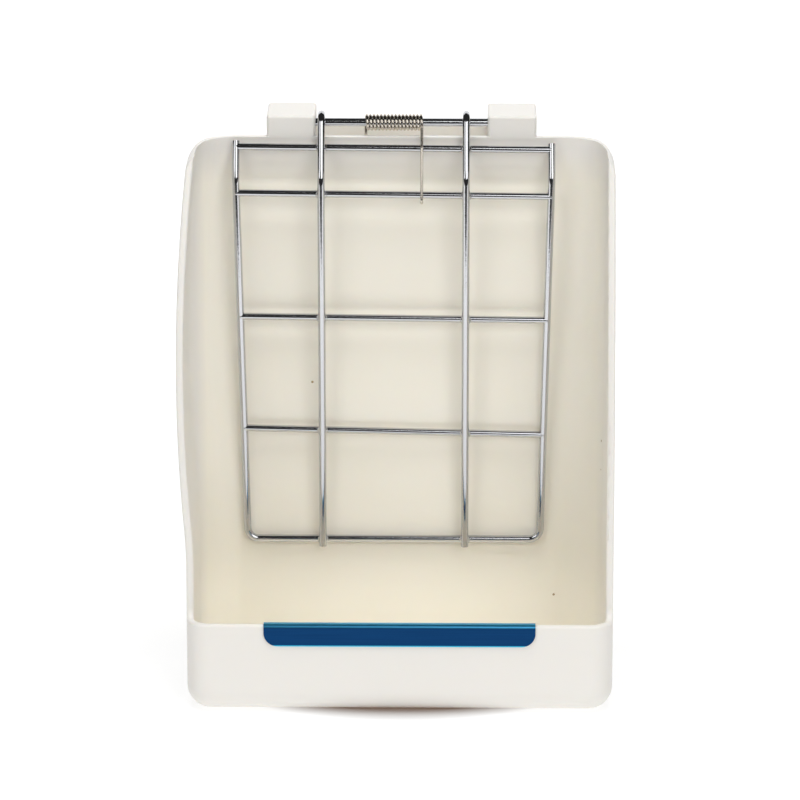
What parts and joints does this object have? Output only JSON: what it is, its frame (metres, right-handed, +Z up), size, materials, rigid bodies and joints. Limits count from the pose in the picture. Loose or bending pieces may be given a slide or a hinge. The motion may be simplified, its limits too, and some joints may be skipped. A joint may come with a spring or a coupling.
{
  "type": "rabbit hopper feeder",
  "caption": "Moulded hay rack and feed trough with a sprung wire grille that hinges on a rod between two ears, a hook-over hanger behind and a metal chew guard on the lip.",
  "frame": {"origin": "on the floor, under the middle of the body's width and depth", "axes": "+X to the right seen from the front, +Y to the back wall and the cage, +Z up"},
  "size_m": [0.1736, 0.0987, 0.2281],
  "materials": {
    "ivory_plastic": "moulded, low gloss",
    "blue_metal": "satin blue",
    "chrome_wire": "bright plated",
    "spring_steel": "plated spring wire"
  },
  "bodies": {
    "shell": {"body_shell": "ivory_plastic", "chew_guard": "blue_metal", "pivot_rod": "chrome_wire"},
    "spring": {"torsion_spring": "spring_steel"},
    "grille": {"frame_wire": "chrome_wire", "first_cross_bar": "chrome_wire", "second_cross_bar": "chrome_wire", "third_cross_bar": "chrome_wire", "fourth_cross_bar": "chrome_wire", "left_hook_wire": "chrome_wire", "right_hook_wire": "chrome_wire"}
  },
  "joints": [
    {"name": "grille_slide", "type": "slide", "parent": "shell", "child": "spring", "axis": [1, 0, 0], "range_m": [-0.0006, 0.0068]},
    {"name": "grille_hinge", "type": "hinge", "parent": "spring", "child": "grille", "pos_m": [-0.0031, 0.0395, 0.2234], "axis": [-1, 0, 0], "range_deg": [0, 75], "stiffness_Nm_per_rad": 0.06, "springref_deg": -68.75, "deforming": ["torsion_spring"]}
  ]
}
